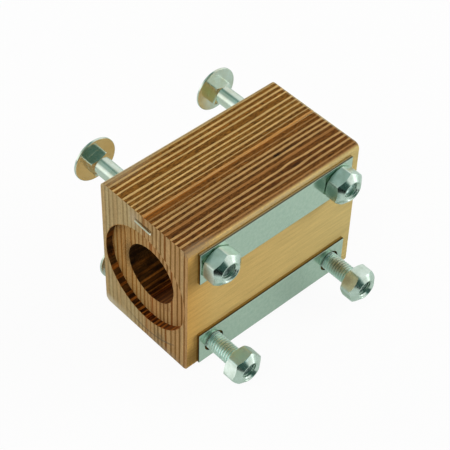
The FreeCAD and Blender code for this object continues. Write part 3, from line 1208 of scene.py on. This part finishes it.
    def build(self, material: bpy.types.Material) -> bpy.types.Object:
        """Make the bolt as rings from its crown to its tip, and put it in place.

        Args:
            material: The finish.

        Returns:
            The bolt.
        """
        low, high = box_mm(self.node)
        underside, head_radius = high[1] - self.head_height, (high[0] - low[0]) / 2
        away = 2 * np.pi * np.arange(self.columns) / self.columns
        turn = away + math.radians(self.neck_turn)
        head_r, head_h = self.head(head_radius)
        neck_r, neck_d = self.neck(away, head_radius)
        shaft_r, shaft_y = self.shaft(turn, underside - self.neck_length, low[1])
        flat = np.zeros_like(turn)
        radius = np.vstack([head_r[:, None] + flat, neck_r, shaft_r])
        head_y = (underside + head_h)[:, None]
        along = np.vstack([head_y + flat, underside - neck_d, shaft_y[:, None] + flat])
        piece = put_rings(f"{self.node}_threaded", about((low + high) / 2, radius, along, turn))
        stand_for(piece, self.node, self.body, material)
        return piece


@dataclass
class LockNut:
    """An all-metal lock nut: a hexagon that a cone cuts away up to a narrow crown, threaded through.

    Attributes:
        node: The solid that it stands for.
        body: The body that it moves with.
        turn: Turn of the hexagon, in degrees.
        thread: The thread of its bolt.
        columns: Points round the nut.
        across_flats: Width across flats.
        corner_height: Height over the bearing face at which the cone meets the corners.
        crown_radius: Outer radius of the crown's flat ring.
        bearing_radius: Outer radius of the bearing face.
        chamfer_slope: Rise of the lower chamfer for each step outwards.
        corner_round: Power that rounds the corners.
        corner_share: Share of the sharp corner's radius that the rounding stays within.
        mouth_radius: Radius at which the thread opens at both faces.
        leg_rows: Rows of points on the bearing face, the lower chamfer, the flat, the cone and the crown.
        shown_depth: Depth of the thread that can be seen under the crown.
        rows_per_turn: Rows of points in one turn of the thread that can be seen.
        hidden_rows_per_turn: Rows of points in one turn of the rest.
        thread_clearance: How far the thread stands off the bolt's.
    """

    node: str
    body: str
    turn: float
    thread: Thread
    columns: int = 144
    across_flats: float = 17.0
    corner_height: float = 6.8
    crown_radius: float = 5.8
    bearing_radius: float = 7.8
    chamfer_slope: float = math.tan(math.radians(30))
    corner_round: float = 28.0
    corner_share: float = 0.985
    mouth_radius: float = 5.3
    leg_rows: tuple[int, ...] = (4, 4, 6, 8, 3)
    shown_depth: float = 4.0
    rows_per_turn: int = 24
    hidden_rows_per_turn: int = 8
    thread_clearance: float = 0.05

    def outside(self, away: np.ndarray, height: float) -> tuple[np.ndarray, np.ndarray]:
        """Work out radial cuts through the nut's outside, column by column.

        Each cut runs straight from corner to corner: along the bearing face, up the lower chamfer, up the
        flat, over the cone and across the crown.  The flat's radius is that of a hexagon, whose corners are
        rounded by adding high inverse powers of its radius and of a circle's.

        Args:
            away: Angle from the middle of the nearest flat.
            height: The nut's height.

        Returns:
            Radii, and heights over the bearing face, as rows of rings.
        """
        flat = self.across_flats / 2
        corner = flat / math.cos(math.pi / 6)
        power = self.corner_round
        side = (flat / np.cos(away)) ** -power + (corner * self.corner_share) ** -power
        side = side ** (-1 / power)
        slope = (corner - self.crown_radius) / (height - self.corner_height)
        foot = (side - self.bearing_radius) * self.chamfer_slope
        brow = height - (side - self.crown_radius) / slope
        level = np.zeros_like(away)
        corners = [(level + self.mouth_radius, level), (level + self.bearing_radius, level), (side, foot),
                   (side, brow), (level + self.crown_radius, level + height),
                   (level + self.mouth_radius, level + height)]
        legs = []
        for start, end, rows in zip(corners[:-1], corners[1:], self.leg_rows):
            share = np.linspace(0.0, 1.0, rows, endpoint=False)[:, None]
            legs.append(np.stack(start)[:, None] * (1 - share) + np.stack(end)[:, None] * share)
        radius, rise = np.concatenate(legs, axis=1)
        return radius, rise

    def bore(self, turn: np.ndarray, back: float, height: float) -> tuple[np.ndarray, np.ndarray]:
        """Work out the threaded bore from the crown down, opened by a cone at both faces.

        Args:
            turn: Angle about the axis, column by column.
            back: Where along Y the bearing face lies.
            height: The nut's height.

        Returns:
            Radii, and heights over the bearing face, as rows of rings.
        """
        shown = np.arange(height, height - self.shown_depth, -self.thread.pitch / self.rows_per_turn)
        hidden = np.arange(height - self.shown_depth, 0.0, -self.thread.pitch / self.hidden_rows_per_turn)
        rise = np.concatenate([shown, hidden, [0.0]])[:, None] + np.zeros_like(turn)
        radius = self.thread.surface(turn, back - rise) + self.thread_clearance
        return np.maximum(radius, self.mouth_radius - np.minimum(height - rise, rise)), rise

    def build(self, material: bpy.types.Material) -> bpy.types.Object:
        """Make the nut as rings round its outside and back down its bore, and put it in place.

        Args:
            material: The finish.

        Returns:
            The nut.
        """
        low, high = box_mm(self.node)
        back, height = high[1], high[1] - low[1]
        start = 2 * np.pi * np.arange(self.columns) / self.columns
        turn = start + math.radians(self.turn)
        cuts = [self.outside(start % (np.pi / 3) - np.pi / 6, height), self.bore(turn, back, height)]
        radius, rise = (np.vstack(rows) for rows in zip(*cuts))
        rings = about((low + high) / 2, radius, back - rise, turn)
        piece = put_rings(f"{self.node}_threaded", rings, closed=True)
        stand_for(piece, self.node, self.body, material)
        return piece


@dataclass
class Fastening:
    """A carriage bolt with its lock nut, which slide together through the block.

    Attributes:
        row: The row of bolts that it is in.
        end: The end of the block that it is nearer to.
        neck_turn: Turn of the bolt's square neck, in degrees.
        nut_turn: Turn of the nut, in degrees.
        thread: The thread that they share.
    """

    row: Row
    end: End
    neck_turn: float
    nut_turn: float
    thread: Thread = Thread()

    def build(self, bolt_finish: bpy.types.Material,
              nut_finish: bpy.types.Material) -> list[bpy.types.Object]:
        """Make the bolt and the nut.

        Args:
            bolt_finish: The bolt's material.
            nut_finish: The nut's material.

        Returns:
            The bolt and the nut.
        """
        spot = f"{self.row.value}_{self.end.value}"
        bolt = CarriageBolt(f"{spot}_bolt", f"{spot}_fastening", self.neck_turn, self.thread)
        nut = LockNut(f"{spot}_nut", f"{spot}_fastening", self.nut_turn, self.thread)
        return [bolt.build(bolt_finish), nut.build(nut_finish)]


@dataclass
class WoodenBlock:
    """The two wooden halves with their straps and staples.

    Attributes:
        front: Finish of the half under the straps.
        rear: Finish of the half on the side of the bolt heads.
        strap: Finish of the straps.
        wire: Finish of the staples.
    """

    front: LaminatedWood
    rear: LaminatedWood
    strap: ZincPlate
    wire: ZincPlate

    def build(self) -> list[bpy.types.Object]:
        """Dress the solids of the block.

        Returns:
            The dressed solids.
        """
        halves = [dress(Half.FRONT.value, self.front.build()),
                  dress(Half.REAR.value, self.rear.build())]
        strap, wire = self.strap.build(), self.wire.build()
        straps = [dress(f"{row.value}_strap", strap) for row in Row]
        staples = [dress(f"{end.value}_staple", wire) for end in End]
        return halves + straps + staples


@dataclass(frozen=True)
class Patch:
    """A round patch of the surroundings with a soft edge.

    Attributes:
        aim: Direction of its middle.
        inner: Half angle in degrees out to which it has its full level.
        outer: Half angle in degrees at which it is gone.
        level: Its brightness, 1 for white.
    """

    aim: Point
    inner: float
    outer: float
    level: float

    def over(self, add: partial, aim: Socket, light: Socket | float) -> Socket:
        """Lay the patch over the light of the surroundings.

        Args:
            add: add_node bound to the world's tree.
            aim: The direction that is looked in.
            light: The light without the patch.

        Returns:
            The light with the patch.
        """
        middle = Vector(self.aim).normalized()
        facing = add(Kind.VECTOR, {0: aim, 1: middle}, out="Value", operation="DOT_PRODUCT")
        edge = Run(math.cos(math.radians(self.outer)), math.cos(math.radians(self.inner)))
        share = add(Kind.RANGE, edge.along(facing))
        return add(Kind.MIX, {0: share, NUMBER_A: light, NUMBER_B: self.level})


@dataclass(frozen=True)
class Lamp:
    """A square soft lamp that faces the block and isn't mirrored in the metal.

    Attributes:
        name: The lamp's name.
        place: Where it hangs.
        side: The length of its sides.
        power: Its power in watts.
    """

    name: str
    place: Point
    side: float
    power: float

    def hang(self) -> None:
        """Put the lamp in its place, turned towards the middle of the block."""
        data = bpy.data.lights.new(self.name, "AREA")
        data.size = self.side * MM
        data.energy = self.power
        lamp = put(self.name, data)
        lamp.visible_glossy = False
        lamp.location = Vector(self.place) * MM
        lamp.rotation_euler = (-Vector(self.place)).to_track_quat("-Z", "Y").to_euler()


@dataclass
class Studio:
    """White paper under soft lamps, with a dark room beyond the paper, and the camera.

    Attributes:
        azimuth: Turn of the camera about Z, in degrees.
        elevation: Rise of the camera, in degrees.
        roll: Roll of the camera, in degrees.
        distance: Distance of the camera from the bore's middle.
        focal_px: Focal length in pixels of the photograph.
        aim_right: How far the camera is shifted to its right.
        aim_up: How far it is shifted up.
        clip: Nearest and farthest distance that the camera sees.
        floor_side: Side of the paper.
        paper: The paper's colour under the lamps.
        paper_seen: Share of plain white in the paper that the camera sees; the rest takes shadows.
        paper_mirrored: The same share in the paper that the metal mirrors.
        mirrored_paper: The paper's colour in the metal.
        glint: Middle of the paper's bright place in the metal.
        glint_edge: The glint's edge, by the distance from its middle.
        paper_front: Direction in which the paper ends, in the metal.
        paper_end: The way in that direction from the paper into the dark.
        dark: Colour of the dark room past the paper.
        tent: Level of the light that the surroundings cast.
        tent_patches: Its brighter and darker patches.
        mirrored: Level of the surroundings in the metal.
        mirrored_patches: Their brighter and darker patches.
        mirrored_tints: Tints of dark and bright surroundings in the metal.
        tint_turn: The way from the dark tint to the bright one, by the level.
        lamps: The lamps.
    """

    azimuth: float = -43.58
    elevation: float = 46.58
    roll: float = 1.88
    distance: float = 722.2
    focal_px: float = 1458.4
    aim_right: float = -2.36
    aim_up: float = -0.87
    clip: tuple[float, float] = (10.0, 50000.0)
    floor_side: float = 6000.0
    paper: str = "D6D6D4"
    paper_seen: float = 0.94
    paper_mirrored: float = 0.5
    mirrored_paper: str = "CAD8D1"
    glint: Point = (-95.0, -28.0, -42.0)
    glint_edge: Run = Run(42.0, 20.0)
    paper_front: Point = (-0.60, -0.80, 0.0)
    paper_end: Run = Run(175.0, 260.0)
    dark: str = "0C0C0C"
    tent: float = 0.45
    tent_patches: tuple[Patch, ...] = (
        Patch((-0.61, 0.79, -0.10), 18.0, 66.0, 1.0), Patch((-0.08, -0.99, 0.12), 28.0, 39.0, 0.02))
    mirrored: float = 0.95
    mirrored_patches: tuple[Patch, ...] = (
        Patch((-0.45, 0.10, 0.88), 25.0, 66.0, 0.5), Patch((-0.86, 0.50, 0.05), 18.0, 41.0, 1.35),
        Patch((0.10, 0.45, 0.88), 8.0, 17.0, 0.25), Patch((-0.20, -0.50, 0.84), 26.0, 40.0, 0.20),
        Patch((-0.22, -0.96, 0.08), 22.0, 31.0, 0.08), Patch((0.86, -0.50, 0.03), 15.0, 21.0, 1.8))
    mirrored_tints: tuple[str, str] = ("AEFFEE", "FAFFFB")
    tint_turn: Run = Run(0.1, 0.8)
    lamps: tuple[Lamp, ...] = (
        Lamp("left", (-550.0, -120.0, 700.0), 600.0, 2.6),
        Lamp("right", (950.0, -540.0, 240.0), 1000.0, 17.5),
        Lamp("back", (50.0, 900.0, 80.0), 700.0, 6.0))

    def camera(self) -> None:
        """Put the camera at the photograph's angle: turned round the block, raised and a little rolled."""
        turns = (self.azimuth, self.elevation, self.roll)
        azimuth, elevation, roll = (math.radians(turn) for turn in turns)
        out = math.cos(elevation)
        back = Vector((math.sin(azimuth) * out, -math.cos(azimuth) * out, math.sin(elevation)))
        level = back.cross(Vector((0.0, 0.0, -1.0))).normalized()
        right = level * math.cos(roll) + back.cross(level) * math.sin(roll)
        up = back.cross(right)
        data = bpy.data.cameras.new("camera")
        data.sensor_width = SENSOR_MM
        data.lens = self.focal_px / PHOTO_SIDE_PX * SENSOR_MM
        data.clip_start, data.clip_end = (distance * MM for distance in self.clip)
        camera = put("camera", data)
        place = (back * self.distance + right * self.aim_right + up * self.aim_up) * MM
        camera.matrix_world = Matrix.Translation(place) @ Matrix((right, up, back)).transposed().to_4x4()
        bpy.context.scene.camera = camera

    def white_paper(self) -> bpy.types.Material:
        """Make the paper's material: matt, without gloss, white to the camera apart from its shadows.

        In the metal it has a bright place at the left, and ends in the dark in front.

        Returns:
            The finished material.
        """
        surface = Surface.start("white_paper")
        add = surface.add
        rays = add(Kind.LIGHT_PATH).node.outputs
        camera, glossy = rays["Is Camera Ray"], rays["Is Glossy Ray"]
        off = add(Kind.VECTOR, {0: surface.place, 1: self.glint}, out="Value", operation="DISTANCE")
        glint = add(Kind.RANGE, self.glint_edge.along(off))
        ahead = add(Kind.VECTOR, {0: surface.place, 1: self.paper_front}, out="Value",
                    operation="DOT_PRODUCT")
        past = add(Kind.RANGE, self.paper_end.along(ahead))
        plain, bright, dark = (linear(tone) for tone in (self.mirrored_paper, WHITE, self.dark))
        mirrored = add(Kind.MIX, {0: glint, MIX_A: plain, MIX_B: bright}, **COLOURS)
        mirrored = add(Kind.MIX, {0: past, MIX_A: mirrored, MIX_B: dark}, **COLOURS)
        lit, shown = (add(Kind.MIX, {0: glossy, MIX_A: linear(tone), MIX_B: mirrored}, **COLOURS)
                      for tone in (self.paper, WHITE))
        strength = add(Kind.MATH, {0: glint, 1: glossy, 2: 1.0}, operation="MULTIPLY_ADD")
        seen = add(Kind.MATH, {0: glossy, 1: self.paper_mirrored}, operation="MULTIPLY")
        seen = add(Kind.MATH, {0: camera, 1: self.paper_seen, 2: seen}, operation="MULTIPLY_ADD")
        paper = add(Kind.DIFFUSE, {"Color": lit})
        glow = add(Kind.EMISSION, {"Color": shown, "Strength": strength})
        return surface.show(add(Kind.MIX_SHADER, {0: seen, 1: paper, 2: glow}))

    def floor(self) -> None:
        """Lay the paper under the block."""
        level = CAD_BOX[0].z
        half = self.floor_side / 2 * MM
        mesh = bpy.data.meshes.new("floor")
        corners = [(-half, -half, level), (half, -half, level), (half, half, level), (-half, half, level)]
        mesh.from_pydata(corners, [], [(0, 1, 2, 3)])
        mesh.materials.append(self.white_paper())
        floor = put("floor", mesh)

    def world(self) -> None:
        """Surround the set with a white tent, brightest at the back left, open and dark in front.

        The camera sees plain white, and the metal mirrors the room's own light and dark patches.
        """
        world = bpy.data.worlds.new("studio")
        bpy.context.scene.world = world
        world.use_nodes = True
        world.node_tree.nodes.clear()
        add = partial(add_node, world.node_tree)
        rays = add(Kind.LIGHT_PATH).node.outputs
        camera, glossy = rays["Is Camera Ray"], rays["Is Glossy Ray"]
        aim = add(Kind.COORDINATES, out="Generated")
        tent: Any = self.tent
        for patch in self.tent_patches:
            tent = patch.over(add, aim, tent)
        room: Any = self.mirrored
        for patch in self.mirrored_patches:
            room = patch.over(add, aim, room)
        bright = add(Kind.RANGE, self.tint_turn.along(room))
        dark_tint, bright_tint = (linear(tint) for tint in self.mirrored_tints)
        tint = add(Kind.MIX, {0: bright, MIX_A: dark_tint, MIX_B: bright_tint}, **COLOURS)
        colour = add(Kind.MIX, {0: glossy, MIX_A: linear(WHITE), MIX_B: tint}, **COLOURS)
        strength = add(Kind.MIX, {0: glossy, NUMBER_A: tent, NUMBER_B: room})
        strength = add(Kind.MIX, {0: camera, NUMBER_A: strength, NUMBER_B: 1.0})
        background = add(Kind.BACKGROUND, {"Color": colour, "Strength": strength})
        add(Kind.WORLD_OUTPUT, {"Surface": background})

    def build(self) -> None:
        """Set up camera, floor, surroundings and lamps."""
        bpy.context.scene.view_settings.view_transform = "Standard"
        self.camera()
        self.floor()
        self.world()
        for lamp in self.lamps:
            lamp.hang()


REAR_CROSS_PLIES = (
    CrossPly(0.5, 1.0, 0.95, 0.4), CrossPly(3.1, 0.8, 0.75), CrossPly(5.8, 1.2), CrossPly(8.8, 1.1),
    CrossPly(11.8, 1.1), CrossPly(14.8, 1.2), CrossPly(19.2, 1.1), CrossPly(22.3, 1.2),
    CrossPly(25.4, 1.1, 0.9), CrossPly(28.3, 0.9, 0.35),
)
FRONT_CROSS_PLIES = (
    CrossPly(-0.5, 0.9, 0.0, 1.0), CrossPly(-3.4, 0.7, 0.0, 0.3), CrossPly(-6.3, 1.0, 0.75),
    CrossPly(-9.0, 1.1, 0.85), CrossPly(-11.9, 1.1, 0.8), CrossPly(-14.9, 1.4, 0.1, 0.5),
    CrossPly(-19.0, 1.2, 0.9), CrossPly(-22.1, 1.2, 0.9), CrossPly(-25.3, 1.2, 0.85),
    CrossPly(-28.4, 0.9, 0.2, 0.3),
)
FRONT_KNOTS = (Knot((21.0, -20.6), (11.0, 5.0), 0.45), Knot((4.0, -23.7), (9.0, 3.5), 0.35))
WORN_FAR_EDGE = Mark((55.2, 0.0, 42.0), (1.4, 45.0, 1.6), "CFC59A", 0.6)
FRONT_MARKS = (
    # a dark fleck with its tail, and the dark hearts of the knots, on the top
    Mark((19.5, -10.4, 42.0), (4.0, 1.1, 2.0), "120A04", 1.0),
    Mark((28.0, -10.4, 42.0), (9.0, 0.8, 2.0), "2C1A0A", 0.8),
    Mark((22.0, -20.7, 42.0), (6.0, 1.2, 2.0), "331D0C", 0.85),
    Mark((4.0, -23.8, 42.0), (5.0, 1.0, 2.0), "40260F", 0.75),
    # the near end's scuffed lower edge
    Mark((-55.0, -10.0, -42.0), (1.5, 30.0, 5.0), "A2947A", 0.4),
    # glue lines and dark grain along the top, at the near end
    Mark((-48.0, -2.4, 42.0), (16.0, 0.9, 2.0), "8A5018", 0.5),
    Mark((-45.0, -17.3, 42.0), (18.0, 1.0, 2.0), "2E1808", 0.6),
    Mark((-48.0, -5.0, 42.0), (9.0, 0.8, 2.0), "3A220C", 0.5),
    # a scuffed corner of the front at the top, and painted shadow of the lower strap's near end on the side
    Mark((-50.0, -30.0, 41.0), (14.0, 4.0, 3.0), "8C7A5E", 0.6),
    Mark((-51.0, -31.0, -34.0), (7.0, 2.0, 10.0), "8F6C3A", 0.5),
    # painted shade in the slot over the staple, and a smudge about the scribed arc
    Mark((-55.0, -3.0, 36.7), (1.0, 4.5, 0.5), "1C140C", 0.9),
    Mark((-55.0, -10.5, -34.0), (1.5, 6.0, 4.0), "6E624A", 0.4),
    # a stain in the bore, and the upper edge of the front, greyed by wear and by a painted highlight
    Mark((-44.0, -9.0, -14.5), (15.0, 9.0, 6.0), "70462A", 0.4),
    Mark((0.0, -31.8, 40.6), (80.0, 1.6, 2.6), "88888A", 0.5),
    WORN_FAR_EDGE,
)
REAR_MARKS = (
    # the upper edge of the rear, pale from wear and from a painted highlight, scuffed at the near end
    Mark((-45.0, 29.0, 42.0), (24.0, 6.0, 4.0), "9C8866", 0.5),
    Mark((0.0, 31.0, 41.0), (95.0, 3.2, 2.2), "CFC59A", 0.75),
    # the near end: its worn lower edge, painted shade in the slot over the staple and a scuff beside it
    Mark((-55.0, 24.0, -42.0), (1.5, 18.0, 6.0), "C8BC9C", 0.7),
    Mark((-55.0, 3.0, 36.7), (1.0, 4.0, 0.5), "1C140C", 0.9),
    Mark((-55.0, 6.5, 36.0), (1.0, 5.0, 6.0), "B9A68C", 0.45),
    # a glue line along the split
    Mark((30.0, 0.5, 42.0), (34.0, 0.8, 2.0), "B67A30", 0.4),
    # the darkest places, burn and painted shade, two on the recess's wall and one in the bore
    Mark((-53.0, 25.0, 14.5), (2.6, 3.0, 4.5), "0A0604", 0.85),
    Mark((-53.0, 28.0, -4.5), (2.6, 3.5, 5.5), "0A0604", 0.85),
    Mark((-42.0, 15.5, 1.0), (24.0, 7.0, 13.0), "0C0704", 0.65),
    # the worn lower corner of the near end
    Mark((-55.0, 29.0, -41.0), (1.5, 7.0, 5.0), "D2C8AE", 0.6),
    WORN_FAR_EDGE,
)
# bolts whose tips sit deep in their nuts: their tips get painted shade
SHADE_PAINTED_TIPS = ((Row.UPPER, End.NEAR), (Row.LOWER, End.NEAR), (Row.LOWER, End.FAR))
BOLT_MARKS = (
    # a green tint on a neck, and a brownish painted reflection of the wood on the lower threads behind the
    # nuts
    Mark((34.3, 52.0, 29.8), (1.5, 6.5, 5.5), "BEE8D2", 0.55),
    Mark((38.0, -41.0, -25.0), (6.5, 7.5, 5.0), "A08050", 0.5),
    Mark((-38.0, -42.0, -24.5), (5.0, 6.0, 3.0), "9A8C62", 0.3),
    # painted shade on those tips, dark
    *(Mark(tip_of(row, end), (6.0, 3.0, 6.0), "3E4A44", 0.85) for row, end in SHADE_PAINTED_TIPS),
)
NUT_MARKS = (
    # tints on single flats of the lower far (grey-brown, green), lower near (pale), upper near (olive-grey)
    # and upper far (dark teal) nuts
    Mark((33.1, -51.0, -23.1), (3.5, 4.5, 4.0), "7E7464", 0.4),
    Mark((31.5, -52.0, -31.5), (3.0, 7.0, 4.0), "A6BFA3", 0.6),
    Mark((-41.1, -52.5, -20.4), (6.5, 6.5, 2.5), "CAF4F2", 0.85),
    Mark((-48.0, -37.5, 26.5), (2.5, 6.0, 5.5), "8A8466", 0.6),
    Mark((31.0, -37.0, 29.6), (2.5, 7.0, 7.0), "6A8C7E", 0.8),
)

# bare laminated beech: matt bands of dark, porous end grain between thin pale lines, and tan sides
FRONT_WOOD = LaminatedWood("laminated_beech_front", FRONT_CROSS_PLIES, 7, FRONT_KNOTS, FRONT_MARKS)
REAR_WOOD = LaminatedWood("laminated_beech_rear", REAR_CROSS_PLIES, 3, marks=REAR_MARKS,
                          veneer_tones=("C4955A", "C6A26C", "BEA574"))

# zinc-plated strip, rolled flat: a soft grey-green mirror with faint clouds, and dull edges with a painted
# reflection of the shaded wood
STRAP_ZINC = ShearedStrip("zinc_plated_strip", "CAD9CA", "B2C7B9", 2.2, 0.6, (0.10, 0.18))

# galvanised wire, drawn and dipped: warm pale metal with broad, soft highlights
WIRE_ZINC = ZincPlate("galvanised_wire", "E6E2D0", "CFCBB8", 2.0, 0.5, (0.25, 0.35))

# bright zinc on a forged bolt: clear reflections with yellowish clouds on head and shank, a satin thread
BOLT_ZINC = RolledBolt("bright_zinc_bolt", "D8E3DB", "C6C0A0", 7.0, 0.5, (0.16, 0.25), BOLT_MARKS)

# bright zinc on a nut: clear reflections on the cone, satin flats with small grey-green clouds
NUT_ZINC = DrawnNut("bright_zinc_nut", "E0EBE4", "AFC0AE", 3.2, 0.55, (0.15, 0.25), NUT_MARKS)

FASTENINGS = (
    Fastening(Row.UPPER, End.NEAR, neck_turn=13.0, nut_turn=28.0),
    Fastening(Row.UPPER, End.FAR, neck_turn=82.0, nut_turn=24.0),
    Fastening(Row.LOWER, End.NEAR, neck_turn=15.0, nut_turn=11.0),
    Fastening(Row.LOWER, End.FAR, neck_turn=52.0, nut_turn=49.0),
)


def main() -> None:
    """Build the studio and every piece of the block, and log each piece's faces and finish."""
    logging.basicConfig(level=logging.INFO, format="%(name)s: %(message)s")
    Studio().build()
    pieces = WoodenBlock(FRONT_WOOD, REAR_WOOD, STRAP_ZINC, WIRE_ZINC).build()
    bolt_finish, nut_finish = BOLT_ZINC.build(), NUT_ZINC.build()
    for fastening in FASTENINGS:
        pieces += fastening.build(bolt_finish, nut_finish)
    for piece in pieces:
        finish = piece.data.materials[0].name
        log.info("%s: %d faces, finished as %s", piece.name, len(piece.data.polygons), finish)


if __name__ == "__main__":
    main()
